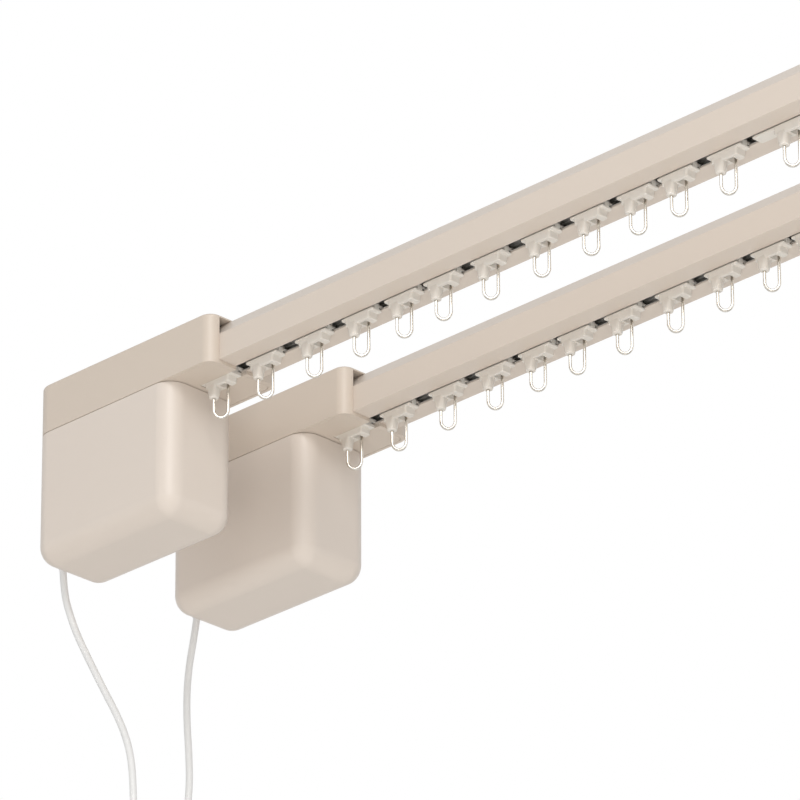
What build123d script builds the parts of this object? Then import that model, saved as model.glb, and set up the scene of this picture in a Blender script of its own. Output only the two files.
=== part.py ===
from build123d import *
from math import cos, pi, radians, sin, tan
import os

# Double electric curtain track, hung from the ceiling: two identical tracks side by side.
# Each has a belt drive gearbox at its left end, with the motor box hanging under it.
# X runs along the rails, away from the motors. Y runs from the front track to the rear one.
# Z is up, and Z = 0 is the ceiling. The origin lies between the motor-end ceiling screws.
# Sizes are in millimetres. Each track is drawn in its own frame, with X = 0 at the open end
# of the gearbox, Y = 0 on the rail's centreline and Z = 0 at the rail's underside.

# Layout
gearbox_end_x = 125.0
track_pitch = 111.0
rear_track_shift = 4.0
rail_drop = 9.0
far_bracket_x = 725.0

# Running and assembly clearances
slide_clearance = 0.35
assembly_clearance = 0.2
spin_clearance = 0.05
seat_gap = 0.3

# Rail, an aluminium extrusion
rail_length = 862.0
rail_inside_gearbox = 72.0
rail_width = 37.4
rail_height = 28.6
rail_wall = 1.5
chamfer_across = 9.2
chamfer_drop = 11.3
slot_width = 8.8
rib_height = 11.4
rib_reach = 2.2
rib_thickness = 1.2
groove_mouth = 7.6
groove_width = 12.4
groove_lip = 1.4
groove_depth = 4.4

# Gearbox housing, moulded
gearbox_length = 159.7
gearbox_front = 26.7
gearbox_depth = 57.7
gearbox_skirt = 2.5
gearbox_wall = 2.2
gearbox_roof = 1.5
gearbox_end_wall = 3.0
base_thickness = 2.2
corner_radius = 13.0
end_corner_radius = 5.0
top_edge_bevel = 1.2
slot_run_in_gearbox = 32.0
hook_x = -17.9
hook_head_width = 16.0
hook_head_height = 2.0

# Motor box, moulded
motor_right_x = -35.8
motor_floor_z = -90.8
motor_wall = 2.4
motor_seam = 0.4
floor_bevel = 8.0
spigot_depth = 3.0
spigot_wall = 1.6
outlet_y = 3.7
outlet_offset = 4.3
outlet_top_z = -44.0
outlet_height = 14.0
outlet_width = 13.0
outlet_radius = 4.0

# Motor, drive shaft and electronics inside the motor box
pulley_x = -98.0
motor_diameter = 38.0
motor_can_length = 50.0
gearhead_width = 36.0
gearhead_length = 16.0
flange_width = 41.0
shaft_diameter = 6.1
motor_flange_z = -9.0
flange_thickness = 3.0
coupling_across_flats = 6.4
coupling_length = 14.0
board_thickness = 1.6
board_width = 40.0
board_height = 62.0
board_x = -146.0
board_top_z = -16.0

# Toothed belt and pulleys
belt_pitch = 5.0
tip_below_pitch_line = 0.3
tooth_height = 1.2
belt_thickness = 1.4
belt_width = 6.0
belt_z = 13.6
flange_over_belt = 1.6
pulley_flange_thickness = 1.0
pulley_hub_diameter = 10.0
pulley_pin_diameter = 6.0
hub_bottom_z = -1.6
bearing_step = 0.8
bearing_height = 4.0
bearing_ring_wall = 2.4
idler_axis_inset = 27.0

# Idler housing at the far end
idler_length = 74.0
idler_overlap = 20.0
idler_wall = 4.1
idler_corner_radius = 9.0

# Runners, in the order in which they stand from the gearbox
runner_places = [21.5, 64.3, 105.0, 141.6, 174.8, 214.4, 256.5, 296.8, 334.6, 367.4, 406.5]
runner_length = 27.0
carriage_length = 24.0
carriage_height = 8.0
crown_width = 12.0
stem_thickness = 3.4
pendant_drop = 9.5
pendant_length = 15.0
pendant_width = 8.4
socket_drop = 14.8
socket_diameter = 5.8
eye_wire = 1.8
eye_width = 8.8
eye_drop = 28.5
eye_bend_height = 4.4
eye_bend_runs = 4
eye_wire_bevel = 0.45
mouth_height = 6.2
mouth_gap = 1.1
mouth_run = 3.6
master_place = 456.0
master_length = 54.0
belt_grip_length = 30.0
belt_grip_wall = 1.6

# Ceiling brackets and the clips that hold the rails to them
bar_thickness = 3.0
bar_width = 24.0
bar_overhang = 14.0
bar_corner_radius = 3.0
ceiling_hole_spacing = 50.0
ceiling_hole_diameter = 5.2
clip_length = 18.0
clip_pad_width = 17.0
clip_peg = 5.0
groove_pocket_length = 34.0
gearbox_clip_x = -125.0

# Power cord, its strain relief, coil and plug
cord_diameter = 4.5
relief_length = 24.0
relief_top_diameter = 8.6
relief_stem = 5.0
coil_radius = 25.0
coil_rows = 3
coil_bundle_bevel = 4.0
coil_flats = 24
cord_flats = 8
plug_width = 35.0
plug_thickness = 13.7
plug_length = 34.0
plug_nose = 10.0
plug_pin_diameter = 4.0
plug_pin_length = 19.0
plug_pin_spacing = 18.6
plug_pin_flats = 8

# Cord routes in the final frame: points chosen by hand along each lead
front_lead = [
    (-39.0, -51.8, -119.6),
    (-39.2, -50.4, -135.0),
    (-35.9, -48.4, -149.5),
    (-30.2, -47.4, -164.5),
    (-21.8, -47.2, -180.0),
    (-12.2, -47.1, -197.0),
    (-2.4, -47.2, -213.6),
    (7.2, -47.1, -229.6),
    (16.2, -47.3, -247.0),
    (22.6, -47.6, -266.0),
    (25.4, -48.0, -290.0),
    (26.2, -48.3, -312.0),
]
rear_lead = [
    (-35.0, 59.2, -119.6),
    (-35.3, 57.0, -135.0),
    (-37.0, 55.2, -151.0),
    (-38.4, 54.4, -169.0),
    (-38.0, 54.2, -190.0),
    (-36.2, 54.5, -212.0),
    (-34.6, 54.8, -234.0),
    (-34.2, 54.9, -256.0),
    (-34.6, 54.8, -277.0),
]
coil_entry = 18.0
tail_drop = [0.0, -20.0, -40.0]
tail_sway = [0.0, 0.3, 1.6]

# Values that follow from the ones above
rail_z = -(rail_drop + rail_height)
rail_end_x = rail_length - rail_inside_gearbox
gearbox_top = rail_height + assembly_clearance + gearbox_roof
idler_width = rail_width + 2 * (assembly_clearance + idler_wall)
carriage_width = rail_width - 2 * (rail_wall + rib_reach)
coil_bundle = coil_rows * cord_diameter
belt_room = carriage_width / 2 - assembly_clearance - belt_grip_wall - slide_clearance
largest_pitch_radius = belt_room - belt_thickness - seat_gap + tip_below_pitch_line
pulley_teeth = int(2 * pi * largest_pitch_radius / belt_pitch)
pitch_radius = belt_pitch * pulley_teeth / (2 * pi)
tip_radius = pitch_radius - tip_below_pitch_line
belt_inner_radius = tip_radius + seat_gap
belt_outer_radius = belt_inner_radius + belt_thickness
idler_x = rail_end_x + idler_axis_inset
idler_start_x = rail_end_x - idler_overlap
gearbox_mid_y = gearbox_depth / 2 - gearbox_front
motor_length = gearbox_length + motor_right_x
motor_mid_x = motor_right_x - motor_length / 2
motor_top_z = -gearbox_skirt - motor_seam
wheel_floor = rail_wall + slide_clearance
outlet_x = -gearbox_length - outlet_offset
clip_pad_height = rail_drop - bar_thickness
os.makedirs("parts", exist_ok=True)


def rounded_block(length, width, height, left_radius, right_radius):
    """A block standing on Z = 0, centred in X and Y, with its upright edges rounded."""
    block = Box(length, width, height, align=(Align.CENTER, Align.CENTER, Align.MIN))
    uprights = block.edges().filter_by(Axis.Z).sort_by(Axis.X)
    block = fillet(uprights[:2], left_radius)
    uprights = block.edges().filter_by(Axis.Z).sort_by(Axis.X)
    return fillet(uprights[-2:], right_radius)


def box_between(low, high):
    """A box from its lowest corner to its highest one."""
    size = [b - a for a, b in zip(low, high)]
    return Pos(*low) * Box(*size, align=(Align.MIN, Align.MIN, Align.MIN))


def upright(diameter, bottom, top, x=0.0, y=0.0):
    """A round bar along Z."""
    bar = Cylinder(diameter / 2, top - bottom, align=(Align.CENTER, Align.CENTER, Align.MIN))
    return Pos(x, y, bottom) * bar


def flat_sided(diameter, sides, bottom, top, x=0.0, y=0.0):
    """A bar along Z with a few flats in place of its round wall, for small repeated pieces."""
    face = RegularPolygon(diameter / 2, sides)
    return Pos(x, y, bottom) * extrude(face, top - bottom)


def hexagon_bar(across_flats, bottom, top):
    """A six-sided bar along Z."""
    face = RegularPolygon(across_flats / 2, 6, major_radius=False)
    return Pos(0, 0, bottom) * extrude(face, top - bottom)


def tapered_block(low_size, high_size, bottom, top):
    """A block whose length and width change evenly from its bottom to its top."""
    outlines = []
    for low, high in zip(low_size, high_size):
        corners = [(-low / 2, bottom), (low / 2, bottom), (high / 2, top), (-high / 2, top)]
        outlines.append(make_face(Polyline(*corners, close=True)))
    reach = max(*low_size, *high_size)
    along = extrude(Plane.XZ * outlines[0], reach, both=True)
    return along & extrude(Plane.YZ * outlines[1], reach, both=True)


def top_groove(start, end, top):
    """The T-shaped groove that takes a clip's foot, cut down from the height top."""
    mouth = box_between(
        (start, -groove_mouth / 2, top - groove_depth), (end, groove_mouth / 2, top + 0.01)
    )
    wide = box_between(
        (start, -groove_width / 2, top - groove_depth), (end, groove_width / 2, top - groove_lip)
    )
    return mouth + wide


def rail():
    """The extrusion: chamfered top, slot below, stiffening ribs and the clip groove on top."""
    half = rail_width / 2
    shoulder = half - chamfer_across
    outline = Polyline(
        (-half, 0),
        (half, 0),
        (half, rail_height - chamfer_drop),
        (shoulder, rail_height),
        (-shoulder, rail_height),
        (-half, rail_height - chamfer_drop),
        close=True,
    )
    outer = make_face(outline)
    inner = offset(outer, -rail_wall, kind=Kind.INTERSECTION)
    groove_box = groove_depth + rail_wall
    groove_half = groove_width / 2 + rail_wall
    inner -= Pos(0, rail_height - groove_box / 2) * Rectangle(2 * groove_half, groove_box)
    rib_y = half - rail_wall - rib_reach / 2
    for side in (-1, 1):
        inner -= Pos(side * rib_y, rib_height) * Rectangle(rib_reach, rib_thickness)
    section = outer - inner - Pos(0, rail_wall / 2) * Rectangle(slot_width, 2 * rail_wall)
    bar = extrude(Plane.YZ * section, rail_length)
    bar -= top_groove(0, rail_length, rail_height)
    return Pos(-rail_inside_gearbox, 0, 0) * bar


def gearbox_outline(shrink, bottom, top):
    """The gearbox's plan, drawn in by shrink on every side and made into a block."""
    block = rounded_block(
        gearbox_length - 2 * shrink,
        gearbox_depth - 2 * shrink,
        top - bottom,
        corner_radius - shrink,
        max(end_corner_radius - shrink, 0.8),
    )
    return Pos(-gearbox_length / 2, gearbox_mid_y, bottom) * block


def gearbox_slot():
    """The slot in the gearbox's underside, in line with the rail's own slot."""
    return box_between(
        (-slot_run_in_gearbox, -slot_width / 2, -gearbox_skirt - 1), (1, slot_width / 2, 0)
    )


def gearbox_shell():
    """Upper housing: a deep lid, open below, with a square mouth for the rail at its end."""
    shell = gearbox_outline(0, -gearbox_skirt, gearbox_top)
    shell = chamfer(shell.faces().sort_by(Axis.Z)[-1].edges(), top_edge_bevel)
    hollow = gearbox_outline(gearbox_wall, -gearbox_skirt, gearbox_top - gearbox_roof)
    keep = box_between(
        (-gearbox_end_wall, -60, -gearbox_skirt), (0, 60, gearbox_top)
    )
    shell -= hollow - keep
    half = rail_width / 2 + assembly_clearance
    mouth_top = rail_height + (gearbox_top - gearbox_roof - rail_height) / 2
    shell -= box_between(
        (-gearbox_end_wall - 1, -half, -assembly_clearance), (1, half, mouth_top)
    )
    # Pocket for the ceiling clip, hanging from the roof
    pocket_floor = rail_height - groove_depth - rail_wall
    pocket_half = groove_width / 2 + rail_wall
    pocket_x = gearbox_clip_x
    reach = groove_pocket_length / 2 + rail_wall
    pocket = box_between(
        (pocket_x - reach, -pocket_half - rail_wall, pocket_floor),
        (pocket_x + reach, pocket_half + rail_wall, gearbox_top - gearbox_roof),
    )
    shell += pocket
    run = groove_pocket_length / 2
    shell -= box_between(
        (pocket_x - run, -clip_pad_width / 2 - 0.6, rail_height),
        (pocket_x + run, clip_pad_width / 2 + 0.6, gearbox_top + 1),
    )
    shell -= top_groove(pocket_x - run, pocket_x + run, rail_height)
    # Six-sided seat for the upper pulley bearing
    seat_top = gearbox_top - gearbox_roof
    sleeve = bearing_width(pulley_pin_diameter)
    seat = hexagon_bar(sleeve + 2 * gearbox_wall, seat_top - bearing_height, seat_top)
    seat -= hexagon_bar(sleeve, seat_top - bearing_height, seat_top)
    shell += Pos(pulley_x, 0, 0) * seat
    return shell - gearbox_slot()


def bearing_width(shaft_diameter):
    """Across the flats of the six-sided bearing sleeve for a shaft."""
    return shaft_diameter + 2 * (spin_clearance + bearing_ring_wall)


def gearbox_base():
    """Lower cover: closes the shell, carries the lower bearing and locates the motor box."""
    lower = -gearbox_skirt
    upper = lower + base_thickness
    base = gearbox_outline(gearbox_wall + assembly_clearance, lower, upper)
    trim = box_between(
        (-gearbox_end_wall - assembly_clearance, -60, lower - 1), (1, 60, upper + 1)
    )
    base -= trim
    # Rim that drops into the mouth of the motor box
    inset = motor_wall + assembly_clearance
    rim = motor_block(inset, lower - spigot_depth, lower + 0.5)
    rim -= motor_block(inset + spigot_wall, lower - spigot_depth - 1, lower)
    base += rim
    # Raised six-sided seat for the lower pulley bearing, with a hole below it for the shaft
    sleeve = bearing_width(pulley_hub_diameter)
    sleeve_bottom = hub_bottom_z + bearing_step
    seat_top = sleeve_bottom + bearing_height
    seat = hexagon_bar(sleeve + 2 * gearbox_wall, upper - 0.5, seat_top)
    base += Pos(pulley_x, 0, 0) * seat
    base -= Pos(pulley_x, 0, 0) * hexagon_bar(sleeve, sleeve_bottom, seat_top + 1)
    base -= upright(pulley_hub_diameter + 1, lower - 1, seat_top, pulley_x)
    return base - gearbox_slot()


def motor_block(shrink, bottom, top):
    """The motor box's plan, drawn in by shrink on every side and made into a block."""
    radius = corner_radius - shrink
    block = rounded_block(
        motor_length - 2 * shrink, gearbox_depth - 2 * shrink, top - bottom, radius, radius
    )
    return Pos(motor_mid_x, gearbox_mid_y, bottom) * block


def motor_housing():
    """Deep moulded box, open at the top, with a downward cord outlet on its left end."""
    height = motor_top_z - motor_floor_z
    box = Box(motor_length, gearbox_depth, height, align=(Align.CENTER, Align.CENTER, Align.MIN))
    rounded = box.edges().filter_by(Axis.Z) + box.faces().sort_by(Axis.Z)[0].edges()
    box = Pos(motor_mid_x, gearbox_mid_y, motor_floor_z) * fillet(rounded, corner_radius)
    hollow = motor_block(motor_wall, motor_floor_z + motor_wall, motor_top_z + 1)
    hollow = chamfer(hollow.faces().sort_by(Axis.Z)[0].edges(), floor_bevel)
    outlet_reach = outlet_offset + relief_top_diameter / 2 + 1.8
    hood = box_between(
        (-gearbox_length - outlet_reach, outlet_y - outlet_width / 2, outlet_top_z - outlet_height),
        (-gearbox_length + motor_wall, outlet_y + outlet_width / 2, outlet_top_z),
    )
    hood = fillet(hood.edges().filter_by(Axis.Z).sort_by(Axis.X)[:2], outlet_radius)
    hood = chamfer(hood.faces().sort_by(Axis.Z)[-1].edges().sort_by(Axis.X)[0], 3.5)
    stem_top = outlet_top_z - outlet_height + relief_stem
    hood -= upright(
        relief_top_diameter - 2, outlet_top_z - outlet_height - 1, stem_top, outlet_x, outlet_y
    )
    return box + hood - hollow


def motor_unit():
    """The motor can under its square reduction gearhead, with a flange on two pillars."""
    top = motor_flange_z
    head_top = top - flange_thickness
    can_top = head_top - gearhead_length
    half_flange = flange_width / 2
    half_head = gearhead_width / 2
    flange = box_between((-half_flange, -half_flange, head_top), (half_flange, half_flange, top))
    head = box_between((-half_head, -half_head, can_top), (half_head, half_head, head_top))
    can = upright(motor_diameter, can_top - motor_can_length, can_top)
    body = flange + head + can
    body -= upright(shaft_diameter + 2 * spin_clearance, can_top + 2, top + 1)
    # Two pillars carry the flange up to the gearbox base
    for side in (-1, 1):
        outer = side * half_flange
        body += box_between(
            (-5, min(outer, outer - side * 4), top), (5, max(outer, outer - side * 4), -gearbox_skirt)
        )
    return Pos(pulley_x, 0, 0) * body


def drive_coupling():
    """Output shaft of the gearhead, with a six-sided head that plugs into the pulley."""
    shaft = upright(shaft_diameter, motor_flange_z - 7, hub_bottom_z - 1.5)
    head = hexagon_bar(coupling_across_flats, hub_bottom_z - 1.5, hub_bottom_z + coupling_length - 5)
    return Pos(pulley_x, 0, 0) * (shaft + head)


def toothed_ring(bottom, top):
    """The pulley's toothed band, with one gap cut for each tooth of the belt."""
    band = upright(2 * tip_radius, bottom, top)
    gap_width = belt_pitch * 0.52
    for index in range(pulley_teeth):
        gap = box_between(
            (tip_radius - tooth_height, -gap_width / 2, bottom - 1),
            (tip_radius + 1, gap_width / 2, top + 1),
        )
        band -= Rot(0, 0, index * 360 / pulley_teeth) * gap
    return band


def pulley_core():
    """Teeth between two flanges, as both the drive pulley and the idler have."""
    band_bottom = belt_z - 0.4
    band_top = belt_z + belt_width + 0.4
    core = toothed_ring(band_bottom, band_top)
    rim = 2 * (belt_outer_radius + flange_over_belt)
    core += upright(rim, band_bottom - pulley_flange_thickness, band_bottom)
    core += upright(rim, band_top, band_top + pulley_flange_thickness)
    return core


def drive_pulley():
    """Drive pulley: hub in the lower bearing, pin in the upper one, socket for the shaft."""
    core = pulley_core()
    core += upright(pulley_hub_diameter, hub_bottom_z, belt_z)
    pin_top = gearbox_top - gearbox_roof - seat_gap
    core += upright(pulley_pin_diameter, belt_z, pin_top)
    core -= hexagon_bar(
        coupling_across_flats + 2 * spin_clearance, hub_bottom_z - 1, hub_bottom_z + coupling_length
    )
    return Pos(pulley_x, 0, 0) * core


def bearing_sleeve(shaft_diameter, bottom):
    """A plain bearing: a round bore in a six-sided sleeve that can't turn in its seat."""
    sleeve = hexagon_bar(bearing_width(shaft_diameter), bottom, bottom + bearing_height)
    sleeve -= upright(shaft_diameter + 2 * spin_clearance, bottom, bottom + bearing_height)
    return Pos(pulley_x, 0, 0) * sleeve


def bearings():
    """The two sleeves that the drive pulley turns in."""
    lower = bearing_sleeve(pulley_hub_diameter, hub_bottom_z + bearing_step)
    upper = bearing_sleeve(pulley_pin_diameter, gearbox_top - gearbox_roof - bearing_height)
    return [lower, upper]


def belt():
    """The belt loop round both pulleys, upright, with its teeth side inwards."""
    span = idler_x - pulley_x

    def loop(radius):
        return Pos(pulley_x + span / 2, 0) * SlotCenterToCenter(span, 2 * radius)

    ring = loop(belt_outer_radius) - loop(belt_inner_radius)
    return Pos(0, 0, belt_z) * extrude(ring, belt_width)


def idler_pin():
    """The steel pin that the idler pulley turns on, pushed up through the idler housing."""
    return upright(pulley_pin_diameter, -gearbox_skirt, gearbox_top - gearbox_roof, idler_x)


def idler_pulley():
    """The idler pulley, free on its pin."""
    core = pulley_core()
    core -= upright(pulley_pin_diameter + 2 * spin_clearance, belt_z - 3, belt_z + belt_width + 3)
    return Pos(idler_x, 0, 0) * core


def idler_housing():
    """The moulded end housing: a sleeve over the rail's end with a rounded nose."""
    shell = rounded_block(
        idler_length,
        idler_width,
        gearbox_top + gearbox_skirt,
        end_corner_radius - 2,
        idler_corner_radius,
    )
    shell = Pos(idler_start_x + idler_length / 2, 0, -gearbox_skirt) * shell
    shell = chamfer(shell.faces().sort_by(Axis.Z)[-1].edges(), top_edge_bevel)
    half = rail_width / 2 + assembly_clearance
    top = gearbox_top - gearbox_roof
    mouth_top = rail_height + (top - rail_height) / 2
    shell -= box_between(
        (idler_start_x - 1, -half, -assembly_clearance), (rail_end_x, half, mouth_top)
    )
    # Chamber for the idler pulley, kept clear of its flanges
    chamber = belt_outer_radius + flange_over_belt + 1.2
    low = belt_z - 3.0
    high = belt_z + belt_width + 3.0
    shell -= box_between((rail_end_x - 1, -chamber, low), (idler_x, chamber, high))
    shell -= upright(2 * chamber, low, high, idler_x)
    shell -= upright(pulley_pin_diameter, -gearbox_skirt - 1, top, idler_x)
    shell -= box_between(
        (idler_start_x - 1, -slot_width / 2, -gearbox_skirt - 1), (rail_end_x, slot_width / 2, 0)
    )
    return shell


def wire_eye():
    """The wire eye under a runner, its legs turned 45 degrees to the rail.
    To keep the many eyes light, the wire has eight flats and its bend is a few straight runs."""
    outer = (eye_width + eye_wire) / 2
    inner = (eye_width - eye_wire) / 2
    outer_height = eye_bend_height + eye_wire / 2
    inner_height = eye_bend_height - eye_wire / 2
    bend_z = -eye_drop + outer_height
    turns = [radians(180 * step / eye_bend_runs) for step in range(eye_bend_runs + 1)]
    outline = [(-outer, -socket_drop)]
    outline += [(-outer * cos(turn), bend_z - outer_height * sin(turn)) for turn in turns]
    outline += [(side, mouth_height - pendant_drop) for side in (outer, inner)]
    turns.reverse()
    outline += [(-inner * cos(turn), bend_z - inner_height * sin(turn)) for turn in turns]
    outline.append((-inner, -socket_drop))
    face = Plane.XZ * make_face(Polyline(*outline, close=True))
    eye = extrude(face, eye_wire / 2, both=True)
    sides = eye.faces().sort_by(Axis.Y)
    eye = chamfer(sides[0].edges() + sides[-1].edges(), eye_wire_bevel)
    return Rot(0, 0, 45) * eye


def pendant(length):
    """The part of a runner below the rail: a shoulder that covers the slot, narrowing to the foot
    that carries the eye's round socket and the open mouth for the eye's other leg."""
    foot_top = 3 - pendant_drop
    leg = eye_width / 2 * cos(radians(45))
    mouth_x = leg - eye_wire / 2 - mouth_gap
    mouth_y = leg - eye_wire / 2 - mouth_run
    piece = tapered_block(
        (pendant_length, pendant_width), (length, slot_width), foot_top, -slide_clearance
    )
    piece += box_between(
        (-pendant_length / 2, -pendant_width / 2, -pendant_drop),
        (mouth_x, pendant_width / 2, foot_top),
    )
    piece += flat_sided(socket_diameter, 8, -socket_drop, foot_top - 1, -leg, -leg)
    return piece - box_between(
        (mouth_x, mouth_y, -pendant_drop - 1),
        (leg + eye_wire / 2 + mouth_gap, pendant_width, -pendant_drop + mouth_height),
    )


def carriage(length):
    """The part of a runner inside the rail: a winged slide that rides on the slot's lips."""
    floor = wheel_floor
    wings = box_between(
        (-length / 2, -carriage_width / 2, floor), (length / 2, carriage_width / 2, floor + 1.8)
    )
    crown = box_between(
        (2 - length / 2, -crown_width / 2, floor + 1.8),
        (length / 2 - 2, crown_width / 2, floor + carriage_height),
    )
    return wings + crown


def stem(length, top):
    """The web that joins carriage and pendant through the slot."""
    half = stem_thickness / 2
    return box_between((-length / 2, -half, -slide_clearance), (length / 2, half, top))


def runner():
    """One runner: the moulded slide and the wire eye that is set in it."""
    body = carriage(carriage_length) + stem(runner_length, wheel_floor + 1) + pendant(runner_length)
    return [body, wire_eye()]


def master_carrier():
    """The leading carrier: a longer runner with a grip round the front run of the belt."""
    body = carriage(master_length) + stem(master_length, wheel_floor + 1) + pendant(master_length)
    belt_y = -(belt_inner_radius + belt_outer_radius) / 2
    wall = belt_grip_wall + slide_clearance + belt_thickness / 2
    gap = slide_clearance + belt_thickness / 2
    bottom = wheel_floor + 1
    grip_floor = belt_z - slide_clearance
    grip_top = belt_z + belt_width
    run = belt_grip_length / 2
    grip = box_between((-run, belt_y - wall, grip_floor - 1.6), (run, belt_y + wall, grip_top))
    grip -= box_between((-run - 1, belt_y - gap, grip_floor), (run + 1, belt_y + gap, grip_top + 1))
    arm = box_between((-run, belt_y - 0.2, bottom), (run, -5.0, grip_floor))
    return [body + arm + grip, wire_eye()]


def end_hook():
    """The fixed hook in the gearbox's mouth, with the same eye as the runners."""
    foot_top = -gearbox_skirt + base_thickness
    slab = box_between(
        (-runner_length / 2, -slot_width / 2, -gearbox_skirt),
        (runner_length / 2, slot_width / 2, foot_top),
    )
    head = box_between(
        (-runner_length / 2, -hook_head_width / 2, rail_wall),
        (runner_length / 2, hook_head_width / 2, rail_wall + hook_head_height),
    )
    body = pendant(runner_length) + stem(runner_length, rail_wall) + slab + head
    return [Pos(hook_x, 0, 0) * body, Pos(hook_x, 0, 0) * wire_eye()]


def clip(x):
    """A ceiling clip: a pad on the rail, a foot in its groove and a square peg in the bar."""
    top = rail_height
    foot = box_between(
        (-clip_length / 2, -groove_width / 2 + assembly_clearance, top - groove_depth + seat_gap),
        (clip_length / 2, groove_width / 2 - assembly_clearance, top - groove_lip),
    )
    neck_half = groove_mouth / 2 - assembly_clearance
    neck = box_between(
        (-clip_length / 2, -neck_half, top - groove_lip), (clip_length / 2, neck_half, top)
    )
    pad_half = clip_pad_width / 2
    pad = box_between(
        (-clip_length / 2, -pad_half, top), (clip_length / 2, pad_half, top + clip_pad_height)
    )
    peg = Box(clip_peg, clip_peg, bar_thickness - 0.4, align=(Align.CENTER, Align.CENTER, Align.MIN))
    return Pos(x, 0, 0) * (foot + neck + pad + Pos(0, 0, top + clip_pad_height) * peg)


def ceiling_bar(x, peg_shift):
    """A steel bar across both tracks: two ceiling screw holes and a square hole for each clip."""
    width = track_pitch + 2 * bar_overhang
    bar = rounded_block(bar_width, width, bar_thickness, bar_corner_radius, bar_corner_radius)
    bar = Pos(x, 0, -bar_thickness) * bar
    for side in (-1, 1):
        hole_y = side * ceiling_hole_spacing / 2
        bar -= upright(ceiling_hole_diameter, -bar_thickness - 1, 1, x, hole_y)
    for side, shift in zip((-1, 1), peg_shift):
        bar -= Pos(x + shift, side * track_pitch / 2, 0) * Box(clip_peg, clip_peg, 3 * bar_thickness)
    return bar


def control_board():
    """The circuit board beside the motor, with its relay, transformer, capacitor and terminals."""
    half = board_width / 2
    board = box_between(
        (board_x, gearbox_mid_y - half, board_top_z - board_height),
        (board_x + board_thickness, gearbox_mid_y + half, board_top_z),
    )
    face = board_x + board_thickness
    centre = gearbox_mid_y
    relay = box_between((face, centre + 4, board_top_z - 26), (face + 10, centre + 17, board_top_z - 8))
    transformer = box_between(
        (face, centre - 17, board_top_z - 30), (face + 12, centre - 1, board_top_z - 10)
    )
    terminals = box_between(
        (face, centre - 12, board_top_z - 58), (face + 7, centre + 14, board_top_z - 48)
    )
    capacitor = Pos(face, centre + 10, board_top_z - 38) * Rot(0, 90, 0)
    capacitor *= Cylinder(4, 11, align=(Align.CENTER, Align.CENTER, Align.MIN))
    # Two slotted feet carry the board on the floor of the motor box
    foot_low = motor_floor_z + motor_wall
    feet = []
    for y in (centre - 14, centre + 14):
        feet.append(
            box_between((board_x, y - 3, foot_low), (board_x + 4, y + 3, board_top_z - board_height))
        )
    return board + relay + transformer + terminals + capacitor + feet


def strain_relief():
    """The tapered boot that points the cord down out of the motor box."""
    top = outlet_top_z - outlet_height
    stem_part = flat_sided(relief_top_diameter - 2, 12, top, top + relief_stem)
    wide_end = Plane.XY * RegularPolygon(relief_top_diameter / 2, 12)
    narrow_end = Plane.XY.offset(-relief_length) * RegularPolygon(cord_diameter / 2 + 0.6, 12)
    flare = loft([wide_end, narrow_end], ruled=True)
    boot = stem_part + Pos(0, 0, top) * flare
    return Pos(outlet_x, outlet_y, 0) * boot


def tangent_radii(points):
    """For each corner of a route, the largest bend that its two runs leave room for."""
    radii = []
    for before, corner, after in zip(points, points[1:], points[2:]):
        one = Vector(*corner) - Vector(*before)
        two = Vector(*after) - Vector(*corner)
        turn = radians(one.get_angle(two))
        radii.append(0.45 * min(one.length, two.length) / tan(turn / 2))
    return radii


def tube(points, name):
    """A cord along straight runs joined by tangent bends, drawn with flats round its section."""
    radii = tangent_radii(points)
    path = FilletPolyline(*points, radius=radii)
    start = Vector(*points[0])
    along = Vector(*points[1]) - start
    face = RegularPolygon(cord_diameter / 2, cord_flats)
    section = Plane(origin=start, z_dir=along) * face
    solid = sweep(section, path=path)
    expected = face.area * path.length
    bends = ", ".join(f"{radius:.0f}" for radius in radii)
    print(f"{name}: {path.length:.1f} mm, volume {solid.volume / expected:.4f}, bends {bends}")
    return solid


def cord_coil(lead, side):
    """The outer shape of the tied coil that the rest of the cord is wound into."""
    x, y, z = lead[-1]
    rim = RegularPolygon(coil_radius + coil_bundle / 2, coil_flats)
    bore = RegularPolygon(coil_radius - coil_bundle / 2, coil_flats)
    ring = extrude(Plane.XZ * (rim - bore), coil_bundle / 2, both=True)
    sides = ring.faces().sort_by(Axis.Y)
    ring = chamfer(sides[0].edges() + sides[-1].edges(), coil_bundle_bevel)
    return Pos(x + side * coil_radius, y, z - coil_entry) * ring


def tail_points(lead):
    """The short end of the cord, from the coil down to the plug."""
    x, y, z = lead[-1]
    start = z - 2 * coil_entry
    return [(x + sway, y, start + drop) for drop, sway in zip(tail_drop, tail_sway)]


def plug(lead):
    """A flat two-pin plug hanging from the end of the cord, pins down."""
    x, y, z = tail_points(lead)[-1]
    nose = tapered_block((14, 10), (6, 6), -plug_nose, 0)
    body = rounded_block(plug_width, plug_thickness, plug_length, 5.0, 5.0)
    body = chamfer(body.faces().sort_by(Axis.Z)[-1].edges(), 3.0)
    piece = nose + Pos(0, 0, -plug_nose - plug_length) * body
    for side in (-1, 1):
        end = -plug_nose - plug_length
        across = side * plug_pin_spacing / 2
        piece += flat_sided(plug_pin_diameter, plug_pin_flats, end - plug_pin_length, end, across)
    return Pos(x, y, z) * piece


def save(name, pieces):
    """Write one node."""
    solids = []
    for piece in pieces:
        solids.extend(piece.solids())
    shape = solids[0] if len(solids) == 1 else Compound(children=solids)
    export_step(shape, f"parts/{name}.step")


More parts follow.
